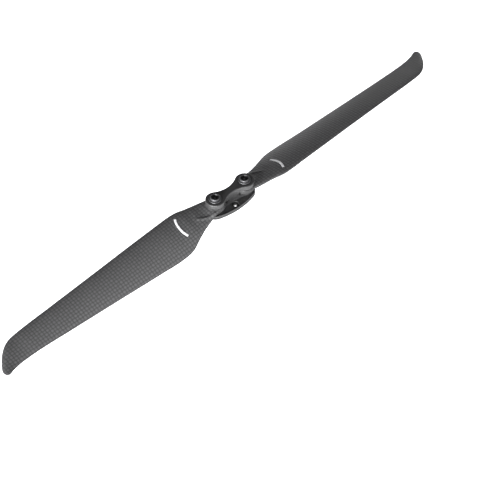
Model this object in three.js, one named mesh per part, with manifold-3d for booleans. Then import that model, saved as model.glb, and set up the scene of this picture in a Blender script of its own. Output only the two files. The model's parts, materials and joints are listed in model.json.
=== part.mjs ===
// A folding two-blade propeller for a multirotor drone, in millimetres, +Z up along the spin axis.
// The origin is on the spin axis, at the motor face under the hub. At rest blade_a points along +X
// and blade_b along -X, and both are swung straight out. Seen from above the propeller turns clockwise.
import * as THREE from "three";
import { mergeVertices } from "three/addons/utils/BufferGeometryUtils.js";
import Module from "manifold-3d";

const wasm = await Module();
wasm.setup();

// ---- Driving dimensions ----
const TIP_RADIUS = 266.7; // half of a 21 inch propeller
const PIVOT_RADIUS = 17.5; // from the spin axis to each blade pivot
const FACE_GAP = 0.1; // between two pieces that lie on each other
const RUN_GAP = 0.08; // radial play between the sleeve and the bush that turns on it
const BOLT_GAP = 0.15; // radial play round a screw shank
const ROUND_SIDES = 40;
const CURVE_SEGMENTS = 12; // of each arc of an outline

// Hub base: a lens-shaped plate that two screws hold on the motor. It has a thin lip round its floor,
// a post under each blade root and a bridge that carries the cover.
const BASE = { floor: 3.6, lipTop: 4, lipWidth: 0.9, endRadius: 9.7, halfWidth: 12.2 };
const POST = { radius: 6.4, top: 7.1 };
const BRIDGE = { flare: 5, waistHalf: 2.2, endGap: 1.3 };
const MOTOR_SCREW = { offset: 7.2, holeRadius: 1.6, headRadius: 3.35, seat: 2.2 };

// Hub cover: a bone-shaped plate over both pivots.
const COVER = { bottom: 12.1, top: 17, lobeRadius: 8.8, waistHalf: 3.7, chamfer: 0.7 };

// Pivot pieces, from the bottom up.
const NUT = { across: 8, height: 2.7, pocketDepth: 3 };
const THRUST = { innerRadius: 3.7, outerRadius: 7.2, height: 0.7 };
const SLEEVE = { radius: 3.5 };
const BUSH = { radius: 5 };
const HEAD_WASHER = { radius: 5.8, height: 0.9, seatDepth: 0.4, edge: 0.35 };
const SCREW = { radius: 2.5, tip: 0.4, headRadius: 4.3, headHeight: 1.8, edge: 0.4 };
const SOCKET = { across: 4, depth: 1.4 };

// Blade: a flat round root and a twisted aerofoil between two edge lines. Each station gives a point
// of the leading edge, a point of the trailing edge, the thickness, the camber over the chord and how
// much of the section is a flat slab with rounded edges instead of an aerofoil.
const ROOT = { radius: 9.3, height: 3.8 };
const BLADE_STATIONS = [
  { lead: [18, -8.8, 10], trail: [18, 9.3, 9.9], thick: 3, camber: 0, slab: 1 },
  { lead: [25, -10, 10.2], trail: [25, 10.4, 9.5], thick: 2.9, camber: 0, slab: 1 },
  { lead: [32, -11.1, 10.7], trail: [32, 11.6, 7.4], thick: 3, camber: 0.005, slab: 0.8 },
  { lead: [42, -12.6, 11.3], trail: [42, 14.5, 5.5], thick: 3.3, camber: 0.015, slab: 0.4 },
  { lead: [52, -14.7, 11.8], trail: [52, 18.5, 3.2], thick: 3.6, camber: 0.03, slab: 0.1 },
  { lead: [62, -14.9, 11.9], trail: [62, 22.5, 0.5], thick: 3.6, camber: 0.04, slab: 0 },
  { lead: [75, -14, 11.9], trail: [75, 24, -0.6], thick: 3.5, camber: 0.045, slab: 0 },
  { lead: [105, -12, 11.3], trail: [105, 23.5, -0.3], thick: 3.2, camber: 0.045, slab: 0 },
  { lead: [150, -8.8, 10.2], trail: [150, 22.7, 1], thick: 2.8, camber: 0.045, slab: 0 },
  { lead: [195, -5.8, 9], trail: [195, 22.1, 2.3], thick: 2.4, camber: 0.04, slab: 0 },
  { lead: [228, -3.6, 8.1], trail: [228, 21.8, 3.5], thick: 2.1, camber: 0.035, slab: 0 },
  { lead: [243, -1.7, 7.6], trail: [243, 22.3, 3.8], thick: 1.9, camber: 0.03, slab: 0 },
  { lead: [250.8, 1.9, 7.4], trail: [251, 23.1, 3.9], thick: 1.8, camber: 0.03, slab: 0 },
  { lead: [258.2, 8.4, 6.6], trail: [258.5, 24.7, 4.2], thick: 1.6, camber: 0.025, slab: 0 },
  { lead: [262.8, 14.3, 5.8], trail: [263.2, 26.3, 4.5], thick: 1.4, camber: 0.02, slab: 0.1 },
  { lead: [266, 19.2, 5.3], trail: [265.8, 25.7, 4.7], thick: 1.2, camber: 0.01, slab: 0.3 },
  { lead: [TIP_RADIUS, 21.6, 5.1], trail: [TIP_RADIUS, 23.3, 5], thick: 1, camber: 0, slab: 0.5 },
];
const STEPS_PER_STATION = 2;
const CHORD_STEPS = 12;
const EDGE_THICKNESS = 0.5; // of the moulded trailing edge

// ---- Sizes worked out from the ones above ----
const THRUST_LOW = { bottom: POST.top + FACE_GAP };
THRUST_LOW.top = THRUST_LOW.bottom + THRUST.height;
ROOT.bottom = THRUST_LOW.top + FACE_GAP;
ROOT.top = ROOT.bottom + ROOT.height;
const THRUST_HIGH = { bottom: ROOT.top + FACE_GAP };
THRUST_HIGH.top = THRUST_HIGH.bottom + THRUST.height;
COVER.seat = THRUST_HIGH.top + FACE_GAP;
HEAD_WASHER.bottom = COVER.top - HEAD_WASHER.seatDepth + FACE_GAP;
HEAD_WASHER.top = HEAD_WASHER.bottom + HEAD_WASHER.height;
SCREW.shoulder = HEAD_WASHER.top + FACE_GAP;
SCREW.top = SCREW.shoulder + SCREW.headHeight;
NUT.top = NUT.pocketDepth - FACE_GAP;

const FINISHES = {
  base: { color: 0x3a3a3c, roughness: 0.55, metalness: 0.1 },
  cover: { color: 0x333335, roughness: 0.5, metalness: 0.1 },
  carbon: { color: 0x48484a, roughness: 0.5, metalness: 0 },
  steel: { color: 0x2b2b2d, roughness: 0.35, metalness: 0.8 },
  bronze: { color: 0x8a6a3a, roughness: 0.4, metalness: 0.9 },
  polymer: { color: 0xd9d7d0, roughness: 0.5, metalness: 0 },
};

// ---- Solids ----

// A closed geometry as a manifold-3d solid, ready to be joined or cut.
function solid(geometry) {
  const bare = geometry.clone();
  bare.deleteAttribute("normal");
  bare.deleteAttribute("uv");
  const merged = mergeVertices(bare, 1e-4);
  return new wasm.Manifold(
    new wasm.Mesh({
      numProp: 3,
      vertProperties: new Float32Array(merged.attributes.position.array),
      triVerts: new Uint32Array(merged.index.array),
    }),
  );
}

// A manifold-3d solid as a geometry.
function geometryOf(body) {
  const mesh = body.getMesh();
  const geometry = new THREE.BufferGeometry();
  geometry.setAttribute("position", new THREE.BufferAttribute(mesh.vertProperties, 3));
  geometry.setIndex(new THREE.BufferAttribute(mesh.triVerts, 1));
  geometry.computeVertexNormals();
  return geometry;
}

// A flat outline raised from one height to another.
function raised(shape, bottom, top) {
  const options = { depth: top - bottom, bevelEnabled: false, curveSegments: CURVE_SEGMENTS };
  return new THREE.ExtrudeGeometry(shape, options).translate(0, 0, bottom);
}

// A profile of [radius, height] pairs turned round the Z axis.
function turned(profile) {
  const points = profile.map(([radius, height]) => new THREE.Vector2(radius, height));
  return new THREE.LatheGeometry(points, ROUND_SIDES).rotateX(Math.PI / 2);
}

// A plain round disc or rod.
function disc(radius, bottom, top) {
  return turned([[0, bottom], [radius, bottom], [radius, top], [0, top]]);
}

// A ring or a tube.
function ring(inner, outer, bottom, top) {
  return turned([[inner, bottom], [outer, bottom], [outer, top], [inner, top], [inner, bottom]]);
}

// A hexagonal prism, by its width across the flats.
function hexagon(across, bottom, top) {
  const prism = new THREE.CylinderGeometry(across / Math.sqrt(3), across / Math.sqrt(3), top - bottom, 6);
  return prism.rotateX(Math.PI / 2).translate(0, 0, (top + bottom) / 2);
}

// Adds to a path the arc round a centre, from one angle to another.
function arc(path, centre, radius, from, to) {
  path.absarc(centre[0], centre[1], radius, from, to, to < from);
}

// The lens outline: two long arcs that run tangent into a round end at each pivot.
function lensShape(endRadius, halfWidth) {
  const drop = (PIVOT_RADIUS ** 2 - (halfWidth - endRadius) ** 2) / (2 * (halfWidth - endRadius));
  const angle = Math.atan2(drop, PIVOT_RADIUS);
  const shape = new THREE.Shape();
  arc(shape, [PIVOT_RADIUS, 0], endRadius, -angle, angle);
  arc(shape, [0, -drop], drop + halfWidth, angle, Math.PI - angle);
  arc(shape, [-PIVOT_RADIUS, 0], endRadius, Math.PI - angle, Math.PI + angle);
  arc(shape, [0, drop], drop + halfWidth, Math.PI + angle, 2 * Math.PI - angle);
  return shape;
}

// The bone outline: a round lobe at each pivot, joined by two hollow arcs that run tangent into them.
function boneShape(lobeRadius, waistHalf) {
  const swell = lobeRadius - waistHalf;
  const rise = (PIVOT_RADIUS ** 2 - swell ** 2) / (2 * swell);
  const hollow = rise - waistHalf;
  const angle = Math.atan2(rise, PIVOT_RADIUS);
  const shape = new THREE.Shape();
  arc(shape, [PIVOT_RADIUS, 0], lobeRadius, angle - Math.PI, Math.PI - angle);
  arc(shape, [0, rise], hollow, -angle, angle - Math.PI);
  arc(shape, [-PIVOT_RADIUS, 0], lobeRadius, angle, 2 * Math.PI - angle);
  arc(shape, [0, -rise], hollow, Math.PI - angle, angle);
  return shape;
}

// Does something at the place of each pivot along X.
function atPivots(work) {
  [PIVOT_RADIUS, -PIVOT_RADIUS].forEach(work);
}

function movedTo(geometry, x, y) {
  return geometry.clone().translate(x, y, 0);
}

// ---- Hub ----

function hubBase() {
  const lens = (inset, bottom, top) => {
    return solid(raised(lensShape(BASE.endRadius - inset, BASE.halfWidth - inset), bottom, top));
  };
  const wall = boneShape(BRIDGE.flare, BRIDGE.waistHalf);
  let bridge = solid(raised(wall, BASE.floor / 2, COVER.bottom - FACE_GAP));
  atPivots((x) => {
    const room = disc(ROOT.radius + BRIDGE.endGap, POST.top, COVER.bottom);
    bridge = bridge.subtract(solid(movedTo(room, x, 0)));
  });
  let body = lens(0, 0, BASE.lipTop).subtract(lens(BASE.lipWidth, BASE.floor, BASE.lipTop + 1)).add(bridge);
  atPivots((x) => {
    body = body.add(solid(movedTo(disc(POST.radius, BASE.floor / 2, POST.top), x, 0)));
    body = body.subtract(solid(movedTo(disc(SCREW.radius + BOLT_GAP, -1, POST.top + 1), x, 0)));
    body = body.subtract(solid(movedTo(hexagon(NUT.across + 2 * BOLT_GAP, -1, NUT.pocketDepth), x, 0)));
  });
  for (const y of [MOTOR_SCREW.offset, -MOTOR_SCREW.offset]) {
    body = body.subtract(solid(movedTo(disc(MOTOR_SCREW.holeRadius, -1, COVER.top), 0, y)));
    body = body.subtract(solid(movedTo(disc(MOTOR_SCREW.headRadius, MOTOR_SCREW.seat, COVER.top), 0, y)));
  }
  return geometryOf(body);
}

function hubCover() {
  const options = {
    depth: COVER.top - COVER.bottom - COVER.chamfer,
    bevelThickness: COVER.chamfer,
    bevelSize: COVER.chamfer,
    bevelOffset: -COVER.chamfer,
    bevelSegments: 1,
    curveSegments: CURVE_SEGMENTS,
  };
  const plate = new THREE.ExtrudeGeometry(boneShape(COVER.lobeRadius, COVER.waistHalf), options);
  let body = solid(plate.translate(0, 0, COVER.bottom));
  const below = new THREE.BoxGeometry(4 * PIVOT_RADIUS, 4 * PIVOT_RADIUS, 2 * COVER.chamfer);
  body = body.subtract(solid(below.translate(0, 0, COVER.bottom - COVER.chamfer)));
  atPivots((x) => {
    body = body.subtract(solid(movedTo(disc(SCREW.radius + BOLT_GAP, 0, COVER.top + 1), x, 0)));
    const thrustSeat = disc(THRUST.outerRadius + BOLT_GAP, COVER.bottom - 1, COVER.seat);
    body = body.subtract(solid(movedTo(thrustSeat, x, 0)));
    const washerSeat = disc(HEAD_WASHER.radius + BOLT_GAP, COVER.top - HEAD_WASHER.seatDepth, COVER.top + 1);
    body = body.subtract(solid(movedTo(washerSeat, x, 0)));
  });
  return geometryOf(body);
}

// ---- Blade ----

// Half the thickness of an aerofoil of unit thickness, at a fraction of the chord from the nose.
function aerofoilHalf(s) {
  return 5 * (0.2969 * Math.sqrt(s) - 0.126 * s - 0.3516 * s ** 2 + 0.2843 * s ** 3 - 0.1036 * s ** 4);
}

// Half the thickness of a slab of unit thickness with rounded edges.
function slabHalf(s) {
  return 0.5 * Math.sqrt(Math.max(0, 1 - Math.abs(2 * s - 1) ** 6));
}

// One closed ring of points round the blade at a place along it: over the top from nose to tail,
// and back underneath.
function bladeSection(place, leadLine, trailLine, sizes) {
  const lead = leadLine.getPoint(place);
  const trail = trailLine.getPoint(place);
  const { x: thick, y: camber, z: slab } = sizes.getPoint(place);
  const chord = lead.distanceTo(trail);
  const lift = new THREE.Vector3(0, lead.z - trail.z, trail.y - lead.y).normalize();
  const pointAt = (step, side) => {
    const s = (1 - Math.cos((Math.PI * step) / CHORD_STEPS)) / 2;
    const wing = thick * aerofoilHalf(s) + 0.5 * EDGE_THICKNESS * s ** 4;
    const half = THREE.MathUtils.lerp(wing, thick * slabHalf(s), slab);
    const rise = 4 * camber * chord * s * (1 - s) + side * half;
    return lead.clone().lerp(trail, s).addScaledVector(lift, rise);
  };
  const over = Array.from({ length: CHORD_STEPS + 1 }, (_, step) => pointAt(step, 1));
  const under = Array.from({ length: CHORD_STEPS - 1 }, (_, step) => pointAt(CHORD_STEPS - 1 - step, -1));
  return [...over, ...under];
}

// A closed surface through rings with equal numbers of points, with a flat cap on each end.
function loft(rings) {
  const count = rings[0].length;
  const last = (rings.length - 1) * count;
  const triangles = [];
  for (let row = 0; row < rings.length - 1; row += 1) {
    for (let i = 0; i < count; i += 1) {
      const a = row * count + i;
      const b = row * count + ((i + 1) % count);
      triangles.push(a, a + count, b, b, a + count, b + count);
    }
  }
  // Each cap is a fan of strips between the upper and the lower half of its ring.
  for (let i = 0; i < count / 2; i += 1) {
    const next = i + 1;
    const below = (count - i) % count;
    const belowNext = count - next;
    if (below !== i) {
      triangles.push(i, next, below, last + i, last + below, last + next);
    }
    if (belowNext !== next) {
      triangles.push(next, belowNext, below, last + next, last + below, last + belowNext);
    }
  }
  const geometry = new THREE.BufferGeometry();
  const numbers = rings.flat().flatMap((point) => point.toArray());
  geometry.setAttribute("position", new THREE.Float32BufferAttribute(numbers, 3));
  geometry.setIndex(triangles);
  return geometry;
}

function blade() {
  const line = (edge) => {
    return new THREE.CatmullRomCurve3(BLADE_STATIONS.map((station) => new THREE.Vector3(...station[edge])));
  };
  const leadLine = line("lead");
  const trailLine = line("trail");
  const triples = BLADE_STATIONS.map(({ thick, camber, slab }) => new THREE.Vector3(thick, camber, slab));
  const sizes = new THREE.CatmullRomCurve3(triples, false, "catmullrom", 0);
  const steps = (BLADE_STATIONS.length - 1) * STEPS_PER_STATION;
  const places = Array.from({ length: steps + 1 }, (_, step) => step / steps);
  const rings = places.map((place) => bladeSection(place, leadLine, trailLine, sizes));
  const root = movedTo(disc(ROOT.radius, ROOT.bottom, ROOT.top), PIVOT_RADIUS, 0);
  const bore = movedTo(disc(BUSH.radius + FACE_GAP, BASE.floor, COVER.top), PIVOT_RADIUS, 0);
  return geometryOf(solid(loft(rings)).add(solid(root)).subtract(solid(bore)));
}

// ---- Pivot pieces, each made at the spin axis ----

function pivotScrew() {
  const { radius, tip, edge, headRadius, shoulder, top } = SCREW;
  const body = turned([
    [0, tip],
    [radius - edge, tip],
    [radius, tip + edge],
    [radius, shoulder],
    [headRadius, shoulder],
    [headRadius, top - edge],
    [headRadius - edge, top],
    [0, top],
  ]);
  const socket = hexagon(SOCKET.across, top - SOCKET.depth, top + 1);
  return geometryOf(solid(body).subtract(solid(socket)));
}

function headWasher() {
  const { radius, edge, bottom, top } = HEAD_WASHER;
  const inner = SCREW.radius + BOLT_GAP;
  return turned([
    [inner, bottom],
    [radius, bottom],
    [radius, top - edge],
    [radius - edge, top],
    [inner, top],
    [inner, bottom],
  ]);
}

function pivotSleeve() {
  return ring(SCREW.radius + BOLT_GAP, SLEEVE.radius, THRUST_LOW.bottom, THRUST_HIGH.top);
}

function thrustWasher({ bottom, top }) {
  return ring(THRUST.innerRadius, THRUST.outerRadius, bottom, top);
}

function pivotNut() {
  const body = solid(hexagon(NUT.across, NUT.top - NUT.height, NUT.top));
  return geometryOf(body.subtract(solid(disc(SCREW.radius + FACE_GAP, -1, NUT.top + 1))));
}

const PIVOT_PIECES = [
  ["pivot_screw", pivotScrew(), "steel"],
  ["head_washer", headWasher(), "steel"],
  ["pivot_sleeve", pivotSleeve(), "steel"],
  ["root_bush", ring(SLEEVE.radius + RUN_GAP, BUSH.radius, ROOT.bottom, ROOT.top), "bronze"],
  ["lower_thrust_washer", thrustWasher(THRUST_LOW), "polymer"],
  ["upper_thrust_washer", thrustWasher(THRUST_HIGH), "polymer"],
  ["pivot_nut", pivotNut(), "steel"],
];

// ---- The propeller ----

function named(name, geometry, finish) {
  const mesh = new THREE.Mesh(geometry, new THREE.MeshStandardMaterial(FINISHES[finish]));
  mesh.name = name;
  return mesh;
}

const propeller = new THREE.Group();
propeller.add(named("hub_base", hubBase(), "base"));
propeller.add(named("hub_cover", hubCover(), "cover"));
for (const [side, turn] of [["a", 0], ["b", Math.PI]]) {
  const arm = new THREE.Group();
  arm.rotation.z = turn;
  arm.add(named(`blade_${side}`, blade(), "carbon"));
  for (const [name, geometry, finish] of PIVOT_PIECES) {
    const piece = named(`${name}_${side}`, geometry, finish);
    piece.position.x = PIVOT_RADIUS;
    arm.add(piece);
  }
  propeller.add(arm);
}

export default propeller;
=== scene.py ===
"""A folding two-blade propeller of woven carbon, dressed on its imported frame.

Every size is in millimetres in the row frame (+Z up the spin axis, +X along blade a) and becomes
metres when a mesh is made. The propeller turns clockwise seen from above.
"""

import json
import logging
import math
from dataclasses import dataclass, field
from enum import Enum
from typing import Any, Mapping, Optional, Sequence, Union

import bpy
import numpy as np
from mathutils import Matrix, Vector

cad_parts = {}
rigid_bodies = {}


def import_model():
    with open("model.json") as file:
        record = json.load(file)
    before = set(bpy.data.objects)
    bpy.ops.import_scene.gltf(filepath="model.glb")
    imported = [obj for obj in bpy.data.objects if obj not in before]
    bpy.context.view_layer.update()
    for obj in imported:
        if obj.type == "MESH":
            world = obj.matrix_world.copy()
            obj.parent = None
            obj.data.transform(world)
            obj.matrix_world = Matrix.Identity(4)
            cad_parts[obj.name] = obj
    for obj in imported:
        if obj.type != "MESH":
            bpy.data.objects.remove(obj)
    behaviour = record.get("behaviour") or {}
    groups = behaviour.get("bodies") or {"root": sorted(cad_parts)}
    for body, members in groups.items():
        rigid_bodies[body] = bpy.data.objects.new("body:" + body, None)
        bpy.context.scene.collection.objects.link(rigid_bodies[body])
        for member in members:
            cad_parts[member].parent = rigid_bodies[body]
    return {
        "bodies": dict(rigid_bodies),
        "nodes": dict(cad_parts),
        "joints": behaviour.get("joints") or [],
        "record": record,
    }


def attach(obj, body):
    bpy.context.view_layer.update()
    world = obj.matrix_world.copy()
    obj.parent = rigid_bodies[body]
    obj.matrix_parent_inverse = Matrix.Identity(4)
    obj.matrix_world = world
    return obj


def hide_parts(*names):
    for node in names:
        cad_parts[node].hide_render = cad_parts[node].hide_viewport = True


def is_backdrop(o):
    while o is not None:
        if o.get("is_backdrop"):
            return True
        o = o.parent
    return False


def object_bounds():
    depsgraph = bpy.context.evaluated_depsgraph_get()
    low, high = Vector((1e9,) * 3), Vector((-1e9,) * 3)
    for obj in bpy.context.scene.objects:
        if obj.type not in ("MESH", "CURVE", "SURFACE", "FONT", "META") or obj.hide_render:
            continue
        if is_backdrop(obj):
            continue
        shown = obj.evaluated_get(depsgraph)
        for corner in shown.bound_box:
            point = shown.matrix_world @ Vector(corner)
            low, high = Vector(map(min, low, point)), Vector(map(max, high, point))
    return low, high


MM = 0.001
PIVOT_RADIUS = 17.5
PIVOTS = (PIVOT_RADIUS, -PIVOT_RADIUS)
SHANK_HOLE = 2.65
# The pitches of the cloth's threads, along and across the blade.
PITCH_ALONG = 3.03
PITCH_ACROSS = 2.64
# The thickness law of a four-digit wing section: factors of the root of s, s, s^2, s^3 and s^4.
WING_LAW = (0.2969, 0.126, 0.3516, 0.2843, 0.1036)
LOG = logging.getLogger("propeller")

Piece = bpy.types.Object
Finish = bpy.types.Material


# ---- Node trees written as Python ----


class Wire:
    """An output socket that takes part in Python arithmetic."""

    def __init__(self, page: "Page", socket: bpy.types.NodeSocket) -> None:
        """Wraps a socket of a page's tree."""
        self.page = page
        self.socket = socket

    def maths(self, operation: str, *others: "Value", swap: bool = False) -> "Wire":
        """Adds a Math node on this wire.

        Args:
            operation: the Math node's operation.
            others: the remaining operands.
            swap: puts this wire last instead of first.

        Returns:
            The node's result.
        """
        operands = [*others, self] if swap else [self, *others]
        return self.page.add("ShaderNodeMath", {"operation": operation}, dict(enumerate(operands)))

    def __add__(self, other: "Value") -> "Wire":
        """This plus other."""
        return self.maths("ADD", other)

    def __sub__(self, other: "Value") -> "Wire":
        """This minus other."""
        return self.maths("SUBTRACT", other)

    def __rsub__(self, other: "Value") -> "Wire":
        """Other minus this."""
        return self.maths("SUBTRACT", other, swap=True)

    def __mul__(self, other: "Value") -> "Wire":
        """This times other."""
        return self.maths("MULTIPLY", other)

    def __pow__(self, other: "Value") -> "Wire":
        """This to the power of other."""
        return self.maths("POWER", other)

    __radd__ = __add__

    def sine(self) -> "Wire":
        """The sine of this, in radians."""
        return self.maths("SINE")

    def size(self) -> "Wire":
        """This without its sign."""
        return self.maths("ABSOLUTE")

    def step(self, low: float, high: float) -> "Wire":
        """Rises smoothly from 0 at low to 1 at high."""
        limits = {"Value": self, "From Min": low, "From Max": high}
        return self.page.add("ShaderNodeMapRange", {"interpolation_type": "SMOOTHSTEP"}, limits)


Value = Union[float, int, str, bool, tuple, bpy.types.ID, Wire]


class Page:
    """A node tree with a method that adds any node."""

    def __init__(self, tree: bpy.types.NodeTree) -> None:
        """Starts from a tree with no nodes."""
        self.tree = tree
        tree.nodes.clear()

    def add(
        self,
        kind: str,
        settings: Optional[Mapping[str, Any]] = None,
        inputs: Optional[Mapping[Union[int, str], Value]] = None,
        output: Union[int, str] = 0,
    ) -> Wire:
        """Adds a node.

        Args:
            kind: the node's type.
            settings: its properties.
            inputs: values or wires, by socket name or number.
            output: the name or number of the output to return.

        Returns:
            The chosen output, or a wire with no socket for a node that has none.
        """
        node = self.tree.nodes.new(kind)
        for key, value in (settings or {}).items():
            setattr(node, key, value)
        for key, value in (inputs or {}).items():
            self.feed(node.inputs[key], value)
        return Wire(self, node.outputs[output] if len(node.outputs) else None)

    def feed(self, socket: bpy.types.NodeSocket, value: Value) -> None:
        """Links a wire to a socket, or sets the socket's own value.

        Args:
            socket: an input.
            value: what it gets.
        """
        if isinstance(value, Wire):
            self.tree.links.new(value.socket, socket)
        else:
            socket.default_value = value

    def blend(self, share: Value, first: Value, second: Value) -> Wire:
        """A colour between two others."""
        colours = {0: share, 6: first, 7: second}
        return self.add("ShaderNodeMix", {"data_type": "RGBA", "clamp_factor": True}, colours, output=2)


class SurfacePage(Page):
    """A material's node tree, read in Object coordinates."""

    def __init__(self, name: str) -> None:
        """Makes the material.

        Args:
            name: its name.
        """
        self.material = bpy.data.materials.new(name)
        self.material.use_nodes = True
        super().__init__(self.material.node_tree)

    def place(self, turn: tuple = (0, 0, 0), scale: tuple = (1, 1, 1)) -> Wire:
        """Object coordinates in millimetres, turned and scaled.

        Args:
            turn: rotation in radians.
            scale: stretch along each axis, on top of the change to millimetres.

        Returns:
            The coordinates.
        """
        raw = self.add("ShaderNodeTexCoord", output="Object")
        stretch = tuple(s / MM for s in scale)
        return self.add("ShaderNodeMapping", {}, {"Vector": raw, "Rotation": turn, "Scale": stretch})

    def axes(self, vector: Wire) -> tuple[Wire, ...]:
        """The three parts of a vector."""
        split = self.add("ShaderNodeSeparateXYZ", {}, {"Vector": vector}).socket.node
        return tuple(Wire(self, part) for part in split.outputs)

    def noise(self, vector: Wire, scale: float, detail: float = 2, roughness: float = 0.5) -> Wire:
        """Fractal noise from 0 to 1.

        Args:
            vector: where it is read.
            scale: features for each millimetre.
            detail: the number of finer layers.
            roughness: how strong the finer layers are.

        Returns:
            The noise.
        """
        sizes = {"Vector": vector, "Scale": scale, "Detail": detail, "Roughness": roughness}
        return self.add("ShaderNodeTexNoise", {}, sizes)

    def bump(self, height: Wire, depth: float, strength: float = 1.0, under: Optional[Wire] = None) -> Wire:
        """A normal from a height field.

        Args:
            height: the field, 0 to 1.
            depth: its real depth in millimetres.
            strength: how much of it shows.
            under: a normal that it is laid over.

        Returns:
            The normal.
        """
        values: dict[str, Value] = {"Height": height, "Distance": depth * MM, "Strength": strength}
        if under is not None:
            values["Normal"] = under
        return self.add("ShaderNodeBump", {}, values)

    def finish(self, values: Mapping[str, Value]) -> Finish:
        """Ends the tree in a Principled shader.

        Args:
            values: the shader's sockets.

        Returns:
            The material.
        """
        shader = self.add("ShaderNodeBsdfPrincipled", {}, values)
        self.add("ShaderNodeOutputMaterial", {}, {"Surface": shader})
        return self.material


def grey(level: float) -> tuple:
    """A neutral colour with a touch of blue."""
    return (level, level, level * 1.02, 1)


def tinted(colour: Sequence[float], gain: float, lift: float = 0.0) -> tuple:
    """A colour made lighter or darker, with its alpha."""
    return (*(min(1.0, part * gain + lift) for part in colour), 1)


# ---- Finishes ----


@dataclass(frozen=True)
class WovenCarbon:
    """Plain-weave carbon cloth under a matte resin, with its sizes in millimetres."""

    shaded_ply: float = 0.012
    # gap, thread, crown and the thread tones are colour levels of the weave's painted light: painted shade
    # in the gaps, a shaded and a lit tone for the threads, a painted highlight on the crowns.
    gap: float = 0.026
    thread: float = 0.056
    crown: float = 0.088
    lit_and_shaded_tones: tuple = (0.78, 1.16)
    wander: float = 0.35
    crossing: float = 0.25
    crown_gain: float = 2.6
    patchiness: float = 0.5
    streaks: float = 0.8
    level_from: float = 0.42
    level_to: float = 0.72
    relief: float = 0.08
    fibre_relief: float = 0.004
    roughness: float = 0.42
    edge_dulling: float = 0.3
    specular: float = 0.42

    def fibre(self, page: SurfacePage, over: Wire) -> Wire:
        """Fine streaks along whichever thread is on top.

        Args:
            page: the material's tree.
            over: 1 where the thread along the blade is on top.

        Returns:
            The streaks, 0 to 1.
        """
        fine, long = 7, 0.25
        lengthwise = page.noise(page.place(scale=(long, fine, fine)), 1.0, 3, 0.6)
        crosswise = page.noise(page.place(scale=(fine, long, fine)), 1.0, 3, 0.6)
        return over * lengthwise + (1 - over) * crosswise

    def shaded_laminate(self, page: SurfacePage) -> Wire:
        """The plies of the cloth, seen where its edge is cut, in a dark tone that is partly painted shade
        on the side walls.
        """
        layers = page.noise(page.place(scale=(0.05, 0.05, 3.5)), 1.0, 2, 0.5)
        return page.blend(layers.step(0.35, 0.65), grey(self.shaded_ply), grey(self.shaded_ply * 2))

    def material(self) -> Finish:
        """Builds the finish.

        Returns:
            The material.
        """
        page = SurfacePage("woven_carbon")
        spot = page.place()
        drift = page.noise(spot, 0.06, 2)
        along, across, _ = page.axes(spot)
        wander = (drift - 0.5) * self.wander
        columns = ((along + wander) * (math.pi / PITCH_ALONG)).sine()
        rows = ((across - wander) * (math.pi / PITCH_ACROSS)).sine()
        over = (columns * rows).step(-self.crossing, self.crossing)
        crown = columns.size() ** 0.8 * rows.size() ** 0.7
        fibre = self.fibre(page, over)
        stain = page.noise(spot, 0.03, 4, 0.6)
        patch = page.noise(spot, 0.22, 3, 0.6)
        # The weave is painted light: threads on top across the blade take a shaded tone and those along it
        # a lit tone, the crowns a painted highlight and the gaps painted shade.
        dark, light = self.lit_and_shaded_tones
        thread = page.blend(over, grey(self.thread * dark), grey(self.thread * light))
        crown_highlight = page.blend(crown * crown, thread, grey(self.crown))
        shaded = page.blend(crown * self.crown_gain, grey(self.gap), crown_highlight)
        cloudy = page.blend((patch - 0.3) * self.patchiness, shaded, grey(self.thread * 0.7))
        worn = page.blend((stain - 0.4) * self.patchiness, cloudy, grey(self.thread * 1.2))
        streaked = page.blend((fibre - 0.45) * self.streaks, worn, grey(self.crown))
        # Faces that stand on edge take the laminate's dark colour: the cut plies, and painted shade on the
        # side walls.
        facing = page.add("ShaderNodeNewGeometry", output="Normal")
        level = page.axes(facing)[2].size().step(self.level_from, self.level_to)
        weave = page.bump(crown * level, self.relief, 0.7)
        spread = (fibre - 0.5) * 0.18 + (stain - 0.5) * 0.16 + (1 - crown) * 0.12
        dull = spread + (1 - level) * self.edge_dulling
        values = {
            "Base Color": page.blend(level, self.shaded_laminate(page), streaked),
            "Roughness": dull + self.roughness,
            "Normal": page.bump(fibre, self.fibre_relief, 0.5, weave),
            "Specular IOR Level": self.specular,
        }
        return page.finish(values)


@dataclass(frozen=True)
class MouldedNylon:
    """Black glass-filled nylon with a fine moulded grain."""

    level: float = 0.022
    grain: float = 0.012
    grain_pitch: float = 4.5
    glint: float = 0.35
    roughness: float = 0.52

    def material(self) -> Finish:
        """Builds the finish.

        Returns:
            The material.
        """
        page = SurfacePage("moulded_nylon")
        spot = page.place()
        grain = page.noise(spot, self.grain_pitch, 3, 0.6)
        flow = page.noise(page.place(scale=(0.6, 2.2, 1)), 0.35, 3, 0.6)
        specks = page.add("ShaderNodeTexVoronoi", {"feature": "F1"}, {"Vector": spot, "Scale": 2.6})
        glint = 1 - specks.step(0.02, 0.16)
        base = page.blend(flow, grey(self.level * 0.75), grey(self.level * 1.25))
        colour = page.blend(glint * self.glint, base, grey(self.level * 2.2))
        normal = page.bump(grain, self.grain, 0.6)
        roughness = self.roughness + (grain - 0.5) * 0.2 + (flow - 0.5) * 0.15
        return page.finish({"Base Color": colour, "Roughness": roughness, "Normal": normal})


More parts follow.
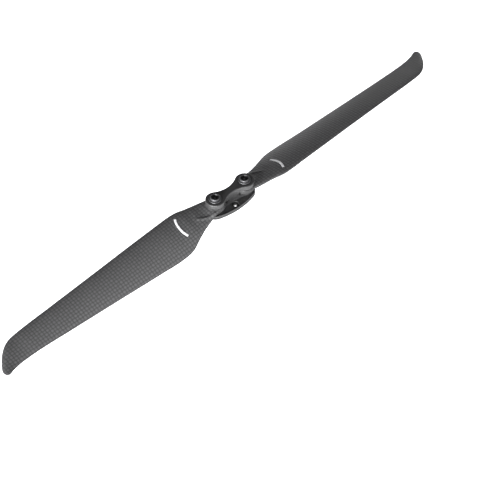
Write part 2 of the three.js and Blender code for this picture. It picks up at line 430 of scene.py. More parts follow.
@dataclass(frozen=True)
class Metal:
    """A turned metal with tool marks round its pivot, light scuffs, and painted shade that darkens its
    screw sockets.
    """

    name: str
    colour: tuple
    metallic: float
    roughness: float
    # The next two set the painted shade in the screw sockets: how strong it is and its colour.
    socket_shade_share: float = 0.0
    socket_shade_level: float = 0.006
    marks: float = 0.004
    marks_per_mm: float = 24
    scuffs: float = 0.25
    socket_radius: float = 3.5
    socket_floor: float = 17.8

    def material(self) -> Finish:
        """Builds the finish.

        Returns:
            The material.
        """
        page = SurfacePage(self.name)
        spot = page.place()
        along, across, up = page.axes(spot)
        arm = along.size() - PIVOT_RADIUS
        radius = (arm * arm + across * across) ** 0.5
        rings = ((radius + up * 1.3) * self.marks_per_mm).sine() * 0.5 + 0.5
        cloud = page.noise(spot, 0.9, 4, 0.6)
        scratch = page.noise(page.place(turn=(0, 0, 0.6), scale=(0.7, 9, 3)), 1.0, 4, 0.7)
        scuff = scratch.step(0.62, 0.74)
        base = page.blend(cloud, tinted(self.colour, 0.75), tinted(self.colour, 1.3))
        worn = page.blend(scuff * self.scuffs, base, tinted(self.colour, 2, 0.03))
        # Painted shade: the colour darkens inside the screw's dish and socket, where shade falls.
        outside = radius.step(self.socket_radius, self.socket_radius + 0.12)
        recess = (1 - outside) * up.step(self.socket_floor, self.socket_floor + 0.1)
        colour = page.blend(recess * self.socket_shade_share, worn, (self.socket_shade_level, self.socket_shade_level, self.socket_shade_level, 1))
        normal = page.bump(rings * 0.6 + cloud * 0.4, self.marks, 0.5)
        roughness = self.roughness + (cloud - 0.5) * 0.2 - scuff * 0.08
        values = {"Base Color": colour, "Metallic": self.metallic}
        return page.finish({**values, "Roughness": roughness, "Normal": normal})


@dataclass(frozen=True)
class BearingPolymer:
    """Off-white low-friction polymer, slightly mottled."""

    colour: tuple = (0.62, 0.6, 0.54)
    roughness: float = 0.45

    def material(self) -> Finish:
        """Builds the finish.

        Returns:
            The material.
        """
        page = SurfacePage("bearing_polymer")
        spot = page.place()
        mottle = page.noise(spot, 0.8, 4, 0.6)
        grain = page.noise(spot, 6, 2)
        colour = page.blend(mottle, tinted(self.colour, 0.85), tinted(self.colour, 1))
        normal = page.bump(grain, 0.006, 0.5)
        roughness = self.roughness + (mottle - 0.5) * 0.2
        return page.finish({"Base Color": colour, "Roughness": roughness, "Normal": normal})


@dataclass(frozen=True)
class MarkPaint:
    """White paint printed over the cloth, with the weave showing through."""

    level: float = 0.78
    relief: float = 0.012
    roughness: float = 0.42

    def material(self) -> Finish:
        """Builds the finish.

        Returns:
            The material.
        """
        page = SurfacePage("mark_paint")
        spot = page.place()
        along, across, _ = page.axes(spot)
        wave = (along * (math.pi / PITCH_ALONG)).sine() * (across * (math.pi / PITCH_ACROSS)).sine()
        grain = page.noise(spot, 3, 3, 0.6)
        fade = page.noise(spot, 0.5, 2)
        colour = page.blend(grain * 0.3 + fade * 0.3, grey(self.level), grey(self.level * 0.9))
        normal = page.bump(wave.size() ** 0.5 + grain * 0.3, self.relief, 0.5)
        roughness = self.roughness + (grain - 0.5) * 0.25
        return page.finish({"Base Color": colour, "Roughness": roughness, "Normal": normal})


@dataclass(frozen=True)
class PaleFloor:
    """White studio table, lit evenly from inside."""

    level: float = 0.9
    roughness: float = 0.9
    specular: float = 0.1
    glow: float = 1.15

    def material(self) -> Finish:
        """Builds the finish.

        Returns:
            The material.
        """
        page = SurfacePage("pale_floor")
        fibre = page.noise(page.place(), 0.04, 3)
        colour = page.blend(fibre, grey(self.level), grey(self.level * 0.985))
        values = {
            "Base Color": colour,
            "Roughness": self.roughness,
            "Specular IOR Level": self.specular,
            "Emission Color": (1, 1, 1, 1),
            "Emission Strength": self.glow,
        }
        return page.finish(values)


# ---- Meshes ----


def make_object(name: str, points: np.ndarray, faces: Sequence[Sequence[int]]) -> Piece:
    """Makes a mesh object from points in millimetres.

    Args:
        name: the object's name.
        points: one row for each vertex.
        faces: vertex numbers, counter-clockwise from outside.

    Returns:
        The object, linked to the scene.
    """
    mesh = bpy.data.meshes.new(name)
    mesh.from_pydata((np.asarray(points) * MM).tolist(), [], [list(map(int, face)) for face in faces])
    mesh.validate()
    mesh.update()
    made = bpy.data.objects.new(name, mesh)
    bpy.context.scene.collection.objects.link(made)
    return made


def skin(name: str, rings: Sequence[np.ndarray], closed: bool = False) -> Piece:
    """Covers a stack of rings with faces.

    Args:
        name: the object's name.
        rings: equal rings, counter-clockwise seen against the direction of the stack.
        closed: joins the last ring to the first in place of capping both.

    Returns:
        The object.
    """
    count = len(rings[0])
    rows = len(rings)
    step = np.arange(count)
    nxt = (step + 1) % count
    faces: list[Sequence[int]] = []
    for row in range(rows if closed else rows - 1):
        low = row * count
        high = (row + 1) % rows * count
        faces.extend(np.stack([low + step, low + nxt, high + nxt, high + step], 1).tolist())
    if not closed:
        faces.append(step[::-1].tolist())
        faces.append(((rows - 1) * count + step).tolist())
    return make_object(name, np.concatenate(rings), faces)


def circle(radius: float, height: float, sides: int = 96, centre: tuple = (0.0, 0.0)) -> np.ndarray:
    """A level ring of points.

    Args:
        radius: of the ring.
        height: its Z.
        sides: the number of points.
        centre: its middle.

    Returns:
        The points.
    """
    angle = np.linspace(0, 2 * math.pi, sides, endpoint=False)
    x = centre[0] + radius * np.cos(angle)
    y = centre[1] + radius * np.sin(angle)
    return np.stack([x, y, np.full(sides, float(height))], 1)


def turned(
    name: str,
    profile: Sequence[tuple],
    sides: int = 96,
    closed: bool = False,
    x: float = 0,
    y: float = 0,
) -> Piece:
    """Turns a profile of (radius, height) pairs round a vertical axis.

    Args:
        name: the object's name.
        profile: from the bottom, up the outside.
        sides: steps round.
        closed: for a ring whose profile comes back to its start.
        x: the axis's place along X.
        y: the axis's place along Y.

    Returns:
        The object.
    """
    return skin(name, [circle(r, z, sides, (x, y)) for r, z in profile], closed)


def rounded(corner: tuple, before: tuple, after: tuple, radius: float, steps: int = 4) -> list[tuple]:
    """Points of a round that replaces a profile's corner.

    Args:
        corner: the sharp corner.
        before: the point that leads to it.
        after: the point that follows.
        radius: how far back the round starts on both sides.
        steps: pieces of the round.

    Returns:
        Its points in order.
    """
    middle = np.array(corner, float)
    back = np.array(before, float) - middle
    ahead = np.array(after, float) - middle
    start = middle + back / np.linalg.norm(back) * radius
    end = middle + ahead / np.linalg.norm(ahead) * radius
    share = np.linspace(0, 1, steps + 1)[:, None]
    curve = start * (1 - share) ** 2 + 2 * middle * share * (1 - share) + end * share**2
    return [tuple(point) for point in curve.tolist()]


def softened(profile: Sequence[tuple], rounds: Mapping[int, float], steps: int = 4) -> list[tuple]:
    """A profile whose numbered corners are rounded.

    Args:
        profile: its sharp points.
        rounds: corner number to radius.
        steps: pieces of each round.

    Returns:
        The new profile.
    """
    made: list[tuple] = []
    for number, corner in enumerate(profile):
        if number in rounds:
            made += rounded(corner, profile[number - 1], profile[number + 1], rounds[number], steps)
        else:
            made.append(corner)
    return made


class Joining(Enum):
    """What a boolean does with the second solid."""

    ADD = "UNION"
    CUT = "DIFFERENCE"


def combined(base: Piece, others: Sequence[Piece], joining: Joining) -> Piece:
    """Joins or cuts solids and keeps the first object with the result.

    Args:
        base: the solid that is worked on.
        others: solids that are used up.
        joining: what is done with them.

    Returns:
        The base, with its new mesh.
    """
    for other in others:
        modifier = base.modifiers.new(joining.name, "BOOLEAN")
        modifier.operation = joining.value
        modifier.solver = "EXACT"
        modifier.object = other
    made = plain_mesh(base)
    for other in others:
        bpy.data.objects.remove(other)
    base.modifiers.clear()
    base.data = made
    return base


def plain_mesh(piece: Piece) -> bpy.types.Mesh:
    """The mesh that an object's modifiers give.

    Args:
        piece: the object.

    Returns:
        A new mesh.
    """
    graph = bpy.context.evaluated_depsgraph_get()
    graph.update()
    return bpy.data.meshes.new_from_object(piece.evaluated_get(graph), depsgraph=graph)


def smoothed(piece: Piece, degrees: float = 32) -> Piece:
    """Shades a piece smooth except where it bends sharply.

    Args:
        piece: what is shaded.
        degrees: the least bend that stays sharp.

    Returns:
        The same piece.
    """
    piece.data.shade_smooth()
    piece.data.set_sharp_from_angle(angle=math.radians(degrees))
    return piece


def turned_half(piece: Piece) -> Piece:
    """Turns a mesh half round the spin axis."""
    piece.data.transform(Matrix.Rotation(math.pi, 4, "Z"))
    return piece


def paint(piece: Piece, material: Finish) -> None:
    """Makes a material the only one on a piece."""
    piece.data.materials.clear()
    piece.data.materials.append(material)


def dress(piece: Piece, material: Finish, body: str, nodes: Sequence[str]) -> None:
    """Gives a finished piece its material and its place in the frame.

    Args:
        piece: the new piece.
        material: its finish.
        body: the body that it rides on.
        nodes: the CAD nodes that it stands for.
    """
    paint(piece, material)
    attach(piece, body)
    if nodes:
        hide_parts(*nodes)
    LOG.info("%s: %d faces on %s", piece.name, len(piece.data.polygons), body)


# ---- Geometry Nodes ----


class GrowthPage(Page):
    """A Geometry Nodes tree with named inputs, run once on an empty mesh."""

    def __init__(self, name: str, inputs: Mapping[str, tuple[str, Any]]) -> None:
        """Args:
            name: the tree's name.
            inputs: socket name to its type and value.
        """
        tree = bpy.data.node_groups.new(name, "GeometryNodeTree")
        super().__init__(tree)
        self.values = inputs
        tree.interface.new_socket("Geometry", in_out="OUTPUT", socket_type="NodeSocketGeometry")
        self.identifiers = {}
        for label, (kind, _) in inputs.items():
            item = tree.interface.new_socket(label, in_out="INPUT", socket_type=kind)
            self.identifiers[label] = item.identifier
        self.entry = tree.nodes.new("NodeGroupInput")

    def given(self, label: str) -> Wire:
        """The wire of a named input."""
        return Wire(self, self.entry.outputs[label])

    def grown(self, name: str, geometry: Wire, material: Finish) -> Piece:
        """Ends the tree, runs it and keeps the plain mesh.

        Args:
            name: the new object's name.
            geometry: what the tree has made.
            material: its finish.

        Returns:
            The object, with no modifier left.
        """
        real = self.add("GeometryNodeRealizeInstances", {}, {"Geometry": geometry})
        painted = self.add("GeometryNodeSetMaterial", {}, {"Geometry": real, "Material": material})
        self.add("NodeGroupOutput", {}, {"Geometry": painted})
        seed = make_object(name, np.zeros((1, 3)), [])
        modifier = seed.modifiers.new("grow", "NODES")
        modifier.node_group = self.tree
        for label, (_, value) in self.values.items():
            modifier[self.identifiers[label]] = value
        seed.data = plain_mesh(seed)
        seed.modifiers.clear()
        return seed


def at_both_pivots(name: str, pattern: Piece, material: Finish, spread: float) -> Piece:
    """Repeats a turned piece at both pivots, each at its own angle.

    Args:
        name: the new object's name.
        pattern: the piece at the spin axis, which is used up.
        material: its finish.
        spread: the widest turn of a copy, in radians.

    Returns:
        One object with both copies.
    """
    seed = 4
    inputs = {
        "Pattern": ("NodeSocketObject", pattern),
        "Pivot Radius": ("NodeSocketFloat", PIVOT_RADIUS * MM),
        "Spread": ("NodeSocketFloat", spread),
        "Seed": ("NodeSocketInt", seed),
    }
    page = GrowthPage(name + "_tree", inputs)
    radius = page.given("Pivot Radius")
    start = page.add("ShaderNodeCombineXYZ", {}, {"X": radius * -1})
    pitch = page.add("ShaderNodeCombineXYZ", {}, {"X": radius * 2})
    places = page.add("GeometryNodeMeshLine", {}, {"Count": 2, "Start Location": start, "Offset": pitch})
    copy = page.add("GeometryNodeObjectInfo", {}, {"Object": page.given("Pattern")}, output="Geometry")
    limits = {2: 0.0, 3: page.given("Spread"), "Seed": page.given("Seed")}
    angle = page.add("FunctionNodeRandomValue", {"data_type": "FLOAT"}, limits, output=1)
    turn = page.add("ShaderNodeCombineXYZ", {}, {"Z": angle})
    setting = {"Points": places, "Instance": copy, "Rotation": turn}
    copies = page.add("GeometryNodeInstanceOnPoints", {}, setting)
    made = page.grown(name, copies, material)
    bpy.data.objects.remove(pattern)
    return smoothed(made)


# ---- Outlines of the hub plates ----


class Form(Enum):
    """Whether the two long sides of a plate bulge out (1) or are drawn in (-1)."""

    LENS = 1
    BONE = -1


@dataclass(frozen=True)
class Outline:
    """A round end at each pivot, joined by two long arcs that are tangent to both."""

    form: Form
    end: float
    half: float

    def ring(self, height: float, inset: float = 0.0, ends: int = 56, sides: int = 40) -> np.ndarray:
        """The outline at a height, drawn in by an inset.

        Args:
            height: its Z.
            inset: how far inside the outline it runs.
            ends: points on each round end.
            sides: points on each long side.

        Returns:
            The points, counter-clockwise from above.
        """
        sign = self.form.value
        swell = sign * (self.half - self.end)
        reach = (PIVOT_RADIUS**2 - swell**2) / (2 * swell)
        angle = math.atan2(reach, PIVOT_RADIUS)
        turn = angle if self.form is Form.LENS else math.pi - angle
        end = np.linspace(-turn, turn, ends, endpoint=False)
        long = np.linspace(angle, math.pi - angle, sides, endpoint=False)
        radius = reach + sign * self.half - sign * inset
        side = np.stack([radius * np.cos(long), sign * (radius * np.sin(long) - reach)], 1)
        round_end = self.end - inset
        tip = np.stack([PIVOT_RADIUS + round_end * np.cos(end), round_end * np.sin(end)], 1)
        half = np.concatenate([tip, side])
        flat = np.concatenate([half, -half])
        return np.column_stack([flat, np.full(len(flat), float(height))])


def shank_cutter(x: float, low: float, high: float) -> Piece:
    """Cuts the hole for the screw shank at one pivot."""
    return turned("shank", [(SHANK_HOLE, low), (SHANK_HOLE, high)], x=x, sides=64)


# ---- Hub base ----


@dataclass
class HubBase:
    """The plate on the motor, with its lip, posts, bridge and screw recesses."""

    outline: Outline = Outline(Form.LENS, 9.7, 12.2)
    floor: float = 3.6
    floor_inset: float = 6.0
    lip_top: float = 4.0
    lip_width: float = 0.9
    under_edge: tuple = ((0.5, 0.0), (0.15, 0.12), (0.0, 0.5))
    groove: tuple = ((0.0, 1.75), (0.4, 1.9), (0.4, 2.45), (0.0, 2.6))
    post_radius: float = 6.4
    post_bottom: float = 1.8
    post_top: float = 7.1
    post_fillet: float = 0.7
    post_chamfer: float = 0.3
    bridge_foot: Outline = Outline(Form.BONE, 6.0, 3.0)
    bridge_head: Outline = Outline(Form.BONE, 8.7, 3.6)
    bridge_waist: float = 5.5
    bridge_top: float = 12.05
    bridge_end: float = 11.2
    bridge_flare: float = 0.96
    bridge_fillet: float = 0.55
    screw_offset: float = 7.2
    screw_hole: float = 1.5
    screw_head: float = 3.35
    screw_seat: float = 2.2
    screw_chamfer: float = 0.45
    nut_across: float = 8.3
    nut_depth: float = 3.0

    def plate(self) -> Piece:
        """The lens plate with its lip, rim groove and rounded edges.

        Returns:
            The plate.
        """
        width = self.lip_width
        top = [(0.0, self.lip_top), (width, self.lip_top)]
        profile = [(0.0, 0.0), *top, (width, self.floor), (self.floor_inset, self.floor)]
        rest = softened(profile, {1: 0.32, 2: 0.14, 3: 0.14})[1:-1]
        outer = [*self.under_edge, *self.groove, *rest]
        return skin("hub_plate", [self.outline.ring(z, inset) for inset, z in outer])

    def bridge(self) -> Piece:
        """The wall in the middle that widens up into the cover's waist.

        Returns:
            The wall.
        """
        heights = np.concatenate([[1.8, 3.3], np.linspace(self.floor, self.bridge_top, 26)])
        fillet = self.bridge_fillet
        rings = []
        for z in heights:
            rise = min(1.0, max(0.0, (z - self.bridge_waist) / (self.bridge_top - self.bridge_waist)))
            share = rise * rise * (3 - 2 * rise) * self.bridge_flare
            foot = fillet * math.exp(-(((z - self.floor) / fillet) ** 2)) if z >= self.floor else fillet
            narrow = self.bridge_foot.ring(z, -foot)
            wide = self.bridge_head.ring(z)
            rings.append(narrow * (1 - share) + wide * share)
        room = [(self.bridge_end, self.post_top), (self.bridge_end, 14)]
        rooms = [turned("room", room, x=x) for x in PIVOTS]
        return combined(skin("bridge", rings), rooms, Joining.CUT)

    def posts(self) -> list[Piece]:
        """The round bosses under the blade roots, with a fillet at the foot.

        Returns:
            Both posts.
        """
        radius, top = self.post_radius, self.post_top
        outward = (radius + 2, self.floor)
        foot = rounded((radius, self.floor), outward, (radius, top), self.post_fillet, 6)
        rim = [(radius, top - self.post_chamfer), (radius - self.post_chamfer, top)]
        profile = [(radius + self.post_fillet, self.post_bottom), *foot, *rim]
        return [turned("post", profile, x=x) for x in PIVOTS]

    def cutters(self) -> list[Piece]:
        """The screw recesses, shank holes and nut pockets.

        Returns:
            The solids that are cut out.
        """
        made = []
        head = self.screw_head
        hole = self.screw_hole
        mouth = head + self.screw_chamfer
        recess = [
            (hole, -1.0),
            (hole, self.screw_seat),
            (head, self.screw_seat),
            (head, self.floor - self.screw_chamfer),
            (mouth, self.floor),
            (mouth, 9.0),
        ]
        for y in (self.screw_offset, -self.screw_offset):
            made.append(turned("recess", recess, y=y, sides=72))
        corner = self.nut_across / math.sqrt(3)
        for x in PIVOTS:
            made.append(shank_cutter(x, 1, 9))
            made.append(turned("pocket", [(corner, -1.0), (corner, self.nut_depth)], x=x, sides=6))
        return made

    def build(self) -> Piece:
        """The whole base as one solid.

        Returns:
            The piece.
        """
        body = self.plate()
        body.name = "base_shell"
        combined(body, [self.bridge(), *self.posts()], Joining.ADD)
        combined(body, self.cutters(), Joining.CUT)
        return smoothed(body, 28)


# ---- Hub cover ----


@dataclass
class HubCover:
    """The bone-shaped plate over both pivots, in millimetres."""

    outline: Outline = Outline(Form.BONE, 8.8, 3.7)
    bottom: float = 12.1
    top: float = 17.0
    edge: float = 0.75
    under_edge: float = 0.25
    washer_seat: float = 6.05
    washer_depth: float = 0.4
    thrust_seat: float = 7.35
    thrust_top: float = 12.8

    def build(self) -> Piece:
        """The plate with rounded edges, washer seats and shank holes.

        Returns:
            The piece.
        """
        profile = [(3.0, self.bottom), (0.0, self.bottom), (0.0, self.top), (3.0, self.top)]
        soft = softened(profile, {1: self.under_edge, 2: self.edge}, 6)[1:-1]
        plate = skin("cover_shell", [self.outline.ring(z, inset) for inset, z in soft])
        rim = self.washer_seat
        seat = self.top - self.washer_depth
        washer = [(rim, seat), (rim, self.top - 0.15), (rim + 0.5, self.top + 0.35)]
        thrust = [(self.thrust_seat, 11), (self.thrust_seat, self.thrust_top)]
        cutters = []
        for x in PIVOTS:
            cutters.append(turned("washer_seat", washer, x=x))
            cutters.append(shank_cutter(x, 10, 20))
            cutters.append(turned("thrust_seat", thrust, x=x))
        return smoothed(combined(plate, cutters, Joining.CUT), 28)


# ---- Pivot hardware ----


@dataclass
class PivotScrew:
    """A low-head socket screw with a dished head, in millimetres."""

    shank: float = 2.5
    tip: float = 0.4
    shoulder: float = 17.7
    head: float = 4.3
    top: float = 19.5
    socket: float = 4.0
    depth: float = 1.4
    dish: float = 3.5
    dish_depth: float = 0.85
    dish_slope: float = 0.35
    centre: float = 0.4
    drill: float = 1.95

    def build(self) -> Piece:
        """The screw at the spin axis.

        Returns:
            The pattern that is repeated at the pivots.
        """
        bottom = self.top - self.dish_depth
        under = [(self.centre, self.tip), (self.shank - 0.4, self.tip), (self.shank, self.tip + 0.4)]
        head = [(self.shank, self.shoulder), (self.head, self.shoulder), (self.head, self.top)]
        dish = [(self.dish, self.top), (self.dish - self.dish_slope, bottom), (self.centre, bottom)]
        profile = [*under, *head, *dish]
        body = turned("screw", softened(profile, {4: 0.12, 5: 0.4, 6: 0.15}, 5))
        corner = self.socket / math.sqrt(3)
        floor = self.top - self.depth
        socket = turned("socket", [(corner, floor), (corner, 22)], sides=6)
        drill = turned("drill", [(0.3, floor - 0.5), (self.drill, floor + 0.05)], sides=48)
        return combined(body, [socket, drill], Joining.CUT)


@dataclass
class HeadWasher:
    """The flat washer under a screw head, in millimetres."""

    radius: float = 5.8
    bottom: float = 16.7
    top: float = 17.6

    def build(self) -> Piece:
        """The washer at the spin axis.

        Returns:
            The pattern that is repeated at the pivots.
        """
        rim = [(self.radius, self.bottom), (self.radius, self.top)]
        profile = [(SHANK_HOLE, self.bottom), *rim, (SHANK_HOLE, self.top)]
        return turned("washer", softened(profile, {1: 0.15, 2: 0.42}, 6), closed=True)


# ---- Blade ----


@dataclass(frozen=True)
class Station:
    """One place along the blade: its two edge points, thickness, camber and share of flat slab."""

    lead: tuple
    trail: tuple
    thick: float
    camber: float
    slab: float


STATIONS = tuple(
    Station(*row)
    for row in (
        ((18, -8.8, 10), (18, 9.3, 9.9), 3.6, 0, 1),
        ((25, -10, 10.2), (25, 10.4, 9.5), 3.3, 0, 1),
        ((32, -11.1, 10.7), (32, 11.6, 7.4), 3, 0.005, 0.8),
        ((42, -12.6, 11.3), (42, 14.5, 5.5), 3.3, 0.015, 0.4),
        ((52, -14.7, 11.8), (52, 18.5, 3.2), 3.6, 0.03, 0.1),
        ((62, -14.9, 11.9), (62, 22.5, 0.5), 3.6, 0.04, 0),
        ((75, -14, 11.9), (75, 24, -0.6), 3.5, 0.045, 0),
        ((105, -12, 11.3), (105, 23.5, -0.3), 3.2, 0.045, 0),
        ((150, -8.8, 10.2), (150, 22.7, 1), 2.8, 0.045, 0),
        ((195, -5.8, 9), (195, 22.1, 2.3), 2.4, 0.04, 0),
        ((228, -3.6, 8.1), (228, 21.8, 3.5), 2.1, 0.035, 0),
        ((243, -1.7, 7.6), (243, 22.3, 3.8), 1.9, 0.03, 0),
        ((250.8, 1.9, 7.4), (251, 23.1, 3.9), 1.8, 0.03, 0),
        ((258.2, 8.4, 6.6), (258.5, 24.7, 4.2), 1.6, 0.025, 0),
        ((262.8, 14.3, 5.8), (263.2, 26.3, 4.5), 1.4, 0.02, 0.1),
        ((266, 19.2, 5.3), (265.8, 25.7, 4.7), 1.2, 0.01, 0.3),
        ((266.7, 21.6, 5.1), (266.7, 23.3, 5), 1, 0, 0.5),
    )
)


def spline(points: np.ndarray, places: np.ndarray) -> np.ndarray:
    """A centripetal Catmull-Rom curve through points.

    Args:
        points: one row for each point.
        places: where to read it, from 0 to the last point's number.

    Returns:
        One row for each place.
    """
    first = 2 * points[0] - points[1]
    last = 2 * points[-1] - points[-2]
    knots = np.vstack([first, points, last])
    row = np.minimum(places.astype(int), len(points) - 2)
    share = (places - row)[:, None]
    p0, p1, p2, p3 = (knots[row + k] for k in range(4))
    pairs = ((p0, p1), (p1, p2), (p2, p3))
    d0, d1, d2 = (np.linalg.norm(b - a, axis=1, keepdims=True) ** 0.5 for a, b in pairs)
    t1 = ((p1 - p0) / d0 - (p2 - p0) / (d0 + d1) + (p2 - p1) / d1) * d1
    t2 = ((p2 - p1) / d1 - (p3 - p1) / (d1 + d2) + (p3 - p2) / d2) * d1
    bend = 3 * (p2 - p1) - 2 * t1 - t2
    twist = 2 * (p1 - p2) + t1 + t2
    return p1 + t1 * share + bend * share**2 + twist * share**3


@dataclass
class Blade:
    """One carbon blade with its flat round root, in millimetres."""

    side: str
    root_radius: float = 9.3
    root_core: float = 6.0
    root_bottom: float = 8.0
    root_top: float = 11.8
    root_edge: float = 0.35
    bore: float = 5.1
    rows: int = 12
    chord_steps: int = 34
    edge: float = 0.6
    fullness: float = 0.22
    ridge: tuple = ((25.5, 8.4), (31.5, 7.8), (36.0, 5.8), (42.5, 2.4))
    ridge_height: float = 0.9
    ridge_width: float = 0.9
    stations: Sequence[Station] = field(default_factory=lambda: STATIONS)

    def section(self, lead: np.ndarray, trail: np.ndarray, sizes: np.ndarray) -> np.ndarray:
        """A ring of points round the blade.

        Args:
            lead: the leading edge point.
            trail: the trailing edge point.
            sizes: thickness, camber and share of slab.

        Returns:
            The points, over the top from nose to tail and back underneath.
        """
        thick, camber, slab = sizes
        chord = np.linalg.norm(trail - lead)
        lift = np.array([0, lead[2] - trail[2], trail[1] - lead[1]])
        lift = lift / np.linalg.norm(lift)
        s = (1 - np.cos(np.linspace(0, math.pi, self.chord_steps + 1))) / 2
        a, b, c, d, e = WING_LAW
        wing = a * np.sqrt(s) - b * s - c * s**2 + d * s**3 - e * s**4
        wing = thick * 5 * wing + 0.5 * self.edge * s**4
        flat = 0.5 * thick * np.sqrt(np.maximum(0, 1 - np.abs(2 * s - 1) ** 6))
        blunt = slab + (1 - slab) * self.fullness
        half = wing * (1 - blunt) + flat * blunt
        middle = 4 * camber * chord * s * (1 - s)
        line = lead + (trail - lead) * s[:, None]
        over = line + lift * (middle + half)[:, None]
        over[:, 2] += self.crease(over)
        under = line + lift * (middle - half)[:, None]
        return np.concatenate([over, under[-2:0:-1]])

    def crease(self, points: np.ndarray) -> np.ndarray:
        """How far the moulded ridge lifts points on top of the root.

        Args:
            points: on the upper skin.

        Returns:
            The lift of each point.
        """
        line = spline(np.array(self.ridge), np.linspace(0, len(self.ridge) - 1, 60))
        gap = np.linalg.norm(points[:, None, :2] - line[None], axis=2)
        nearest = gap.argmin(1) / (len(line) - 1)
        fade = np.sin(math.pi * np.clip(nearest * 0.9 + 0.08, 0, 1)) ** 0.5
        return self.ridge_height * fade * np.exp(-((gap.min(1) / self.ridge_width) ** 2))

    def build(self, low: Vector, high: Vector) -> Piece:
        """The blade as one solid.

        Args:
            low: the lowest corner that it may reach, in metres.
            high: the highest corner.

        Returns:
            The piece.
        """
        count = len(self.stations)
        places = np.linspace(0, count - 1, (count - 1) * self.rows + 1)
        leads = spline(np.array([s.lead for s in self.stations], float), places)
        trails = spline(np.array([s.trail for s in self.stations], float), places)
        table = np.array([(s.thick, s.camber, s.slab) for s in self.stations], float)
        row = np.minimum(places.astype(int), count - 2)
        share = (places - row)[:, None]
        ease = share * share * (3 - 2 * share)
        sizes = table[row] * (1 - ease) + table[row + 1] * ease
        rings = [self.section(*values)[::-1] for values in zip(leads, trails, sizes)]
        wing = skin(f"blade_skin_{self.side}", rings)
        low_z, high_z = self.root_bottom, self.root_top
        edge = self.root_radius
        disc = [(self.root_core, low_z), (edge, low_z), (edge, high_z), (self.root_core, high_z)]
        disc = softened(disc, {1: self.root_edge, 2: self.root_edge})
        root = turned("root", disc, x=PIVOT_RADIUS, sides=128)
        combined(wing, [root], Joining.ADD)
        bore = turned("bore", [(self.bore, 5), (self.bore, 15)], x=PIVOT_RADIUS)
        combined(wing, [bore], Joining.CUT)
        if self.side == "b":
            turned_half(wing)
        points = np.array([v.co for v in wing.data.vertices])
        points = np.clip(points, np.array(low), np.array(high))
        wing.data.vertices.foreach_set("co", points.astype(np.float32).ravel())
        wing.data.update()
        return smoothed(wing, 40)


@dataclass
class IndexMark:
    """The white arc printed across the blade's inner end, in millimetres."""

    side: str
    start: tuple = (57.0, -8.4)
    middle: tuple = (60.1, 0.9)
    end: tuple = (58.1, 10.4)
    stroke: float = 2.1
    film: float = 0.05
    overhead: float = 40.0
    reach: float = 200.0
    steps: int = 64
    cuts: int = 7

    def build(self, blade: Piece, material: Finish) -> Piece:
        """Lays the arc on the blade's upper skin.

        Args:
            blade: the finished blade.
            material: the paint.

        Returns:
            The piece.
        """
        sign = 1 if self.side == "a" else -1
        places = (self.start, self.middle, self.end)
        spots = [(sign * x * MM, sign * y * MM, self.overhead * MM) for x, y in places]
        inputs = {
            "Blade": ("NodeSocketObject", blade),
            "Start": ("NodeSocketVector", spots[0]),
            "Middle": ("NodeSocketVector", spots[1]),
            "End": ("NodeSocketVector", spots[2]),
            "Half Stroke": ("NodeSocketFloat", self.stroke / 2 * MM),
            "Film": ("NodeSocketFloat", self.film * MM),
        }
        page = GrowthPage(f"index_mark_{self.side}_tree", inputs)
        points = {label: page.given(label) for label in ("Start", "Middle", "End")}
        arc = page.add("GeometryNodeCurveArc", {"mode": "POINTS"}, {"Resolution": self.steps, **points})
        sizes = {"Width": page.given("Half Stroke") * 2, "Height": page.given("Film") * 2}
        frame = page.add("GeometryNodeCurvePrimitiveQuadrilateral", {"mode": "RECTANGLE"}, sizes)
        brush = page.add("GeometryNodeSubdivideCurve", {}, {"Curve": frame, "Cuts": self.cuts})
        sweep = {"Curve": arc, "Profile Curve": brush, "Fill Caps": True}
        strip = page.add("GeometryNodeCurveToMesh", {}, sweep)
        target = page.add("GeometryNodeObjectInfo", {}, {"Object": page.given("Blade")}, output="Geometry")
        down = {"Ray Direction": (0.0, 0.0, -1.0), "Ray Length": self.reach * MM}
        ray = {"Target Geometry": target, **down}
        hit = page.add("GeometryNodeRaycast", {"data_type": "FLOAT"}, ray, output="Hit Position")
        own = page.add("GeometryNodeInputPosition")
        height = page.add("ShaderNodeSeparateXYZ", {}, {"Vector": own}, output="Z")
        lifted = page.add("ShaderNodeCombineXYZ", {}, {"Z": height - self.overhead * MM})
        laid = page.add("ShaderNodeVectorMath", {"operation": "ADD"}, {0: hit, 1: lifted})
        film = page.add("GeometryNodeSetPosition", {}, {"Geometry": strip, "Position": laid})
        return page.grown(f"index_mark_{self.side}", film, material)


# ---- Pieces kept from the frame ----


def finish_inner(nodes: Mapping[str, Piece], prefixes: tuple, material: Finish) -> None:
    """Gives a finish to CAD nodes that keep their own shape.

    Args:
        nodes: the frame's nodes.
        prefixes: how the names of the chosen nodes start.
        material: the finish.
    """
    for name in sorted(nodes):
        if name.startswith(prefixes):
            paint(nodes[name], material)
            LOG.info("%s keeps its shape in %s", name, material.name)


# ---- Studio ----


def direction(azimuth: float, elevation: float) -> Vector:
    """The way out to a viewer at an azimuth and elevation in degrees."""
    a, e = math.radians(azimuth), math.radians(elevation)
    return Vector((math.sin(a) * math.cos(e), -math.cos(a) * math.cos(e), math.sin(e)))


def aimed(data: Union[bpy.types.Light, bpy.types.Camera], place: Vector, back: Vector) -> Piece:
    """Puts a light or a camera at a place.

    Args:
        data: the light or the camera.
        place: where it stands, in metres.
        back: the direction that it turns its back to.

    Returns:
        Its object.
    """
    made = bpy.data.objects.new(data.name, data)
    bpy.context.scene.collection.objects.link(made)
    made.location = place
    made.rotation_mode = "QUATERNION"
    made.rotation_quaternion = back.to_track_quat("Z", "Y")
    return made


@dataclass(frozen=True)
class SoftLight:
    """A square soft box aimed at the hub, in metres."""

    name: str
    azimuth: float
    elevation: float
    distance: float
    size: float
    power: float

    def place(self) -> None:
        """Adds the light."""
        data = bpy.data.lights.new(self.name, "AREA")
        data.size = self.size
        data.energy = self.power
        back = direction(self.azimuth, self.elevation)
        aimed(data, back * self.distance, back).visible_camera = False


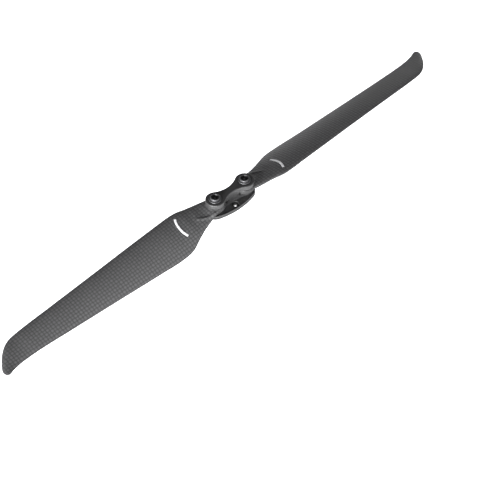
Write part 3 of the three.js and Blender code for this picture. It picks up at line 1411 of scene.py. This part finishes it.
@dataclass
class Studio:
    """The floor, the lights and the camera, in metres and degrees, with a lens in millimetres."""

    azimuth: float = -42.4
    elevation: float = 48.0
    distance: float = 1.467
    lens: float = 118.3
    aim: tuple = (-0.0084, -0.0357, -0.0278)
    sensor: float = 36
    clip: tuple = (0.05, 50)
    floor_half: float = 6.0
    floor_drop: float = 0.3
    ceiling: float = 0.085
    horizon: float = 1.0
    fade: tuple = (0.14, 0.42)
    lights: tuple = (
        SoftLight("key", -68, 6, 1.3, 0.4, 84),
        SoftLight("overhead", -30, 78, 1.4, 1.0, 0.8),
        SoftLight("high_side", 50, 50, 1.4, 0.7, 4),
        SoftLight("low_right", 117, 10, 1.0, 0.3, 1.2),
    )

    def build(self) -> None:
        """Sets up everything that isn't the object."""
        scene = bpy.context.scene
        scene.view_settings.view_transform = "Standard"
        world = bpy.data.worlds.new("studio")
        scene.world = world
        world.use_nodes = True
        page = Page(world.node_tree)
        outward = page.add("ShaderNodeTexCoord", output="Generated")
        height = page.add("ShaderNodeSeparateXYZ", {}, {"Vector": outward}, output="Z")
        tone = page.blend(height.step(*self.fade), grey(self.horizon), grey(self.ceiling))
        backdrop = page.add("ShaderNodeBackground", {}, {"Color": tone})
        page.add("ShaderNodeOutputWorld", {}, {"Surface": backdrop})
        for light in self.lights:
            light.place()
        side = self.floor_half / MM
        corners = np.array([(-side, -side), (side, -side), (side, side), (-side, side)])
        sheet = np.column_stack([corners, np.full(4, -self.floor_drop / MM)])
        floor = make_object("floor", sheet, [(0, 1, 2, 3)])
        paint(floor, PaleFloor().material())
        floor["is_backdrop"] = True
        data = bpy.data.cameras.new("camera")
        data.lens = self.lens
        data.sensor_width = self.sensor
        data.clip_start, data.clip_end = self.clip
        back = direction(self.azimuth, self.elevation)
        scene.camera = aimed(data, Vector(self.aim) + back * self.distance, back)


# ---- The propeller ----


def main() -> None:
    """Loads the frame and dresses the whole propeller on it."""
    logging.basicConfig(level=logging.INFO, format="%(message)s")
    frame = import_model()
    low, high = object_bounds()
    Studio().build()

    nylon = MouldedNylon().material()
    black = Metal("black_steel", (0.11, 0.11, 0.115), metallic=0.8, roughness=0.5, socket_shade_share=0.75).material()
    steel = Metal("bare_steel", (0.5, 0.5, 0.5), metallic=1.0, roughness=0.3).material()
    bronze = Metal("bronze", (0.5, 0.34, 0.14), metallic=1.0, roughness=0.35).material()
    polymer = BearingPolymer().material()
    carbon = WovenCarbon().material()
    paint = MarkPaint().material()

    dress(HubBase().build(), nylon, "hub", ["hub_base"])
    dress(HubCover().build(), nylon, "hub", ["hub_cover"])
    screws = at_both_pivots("pivot_screws", PivotScrew().build(), black, math.pi / 3)
    dress(screws, black, "hub", ["pivot_screw_a", "pivot_screw_b"])
    washers = at_both_pivots("head_washers", HeadWasher().build(), black, math.pi)
    dress(washers, black, "hub", ["head_washer_a", "head_washer_b"])
    for side in ("a", "b"):
        blade = Blade(side).build(low, high)
        mark = IndexMark(side).build(blade, paint)
        dress(blade, carbon, f"blade_{side}", [f"blade_{side}"])
        dress(mark, paint, f"blade_{side}", [])

    nodes = frame["nodes"]
    finish_inner(nodes, ("pivot_sleeve",), steel)
    finish_inner(nodes, ("root_bush",), bronze)
    finish_inner(nodes, ("lower_thrust", "upper_thrust"), polymer)
    finish_inner(nodes, ("pivot_nut",), black)


if __name__ == "__main__":
    main()
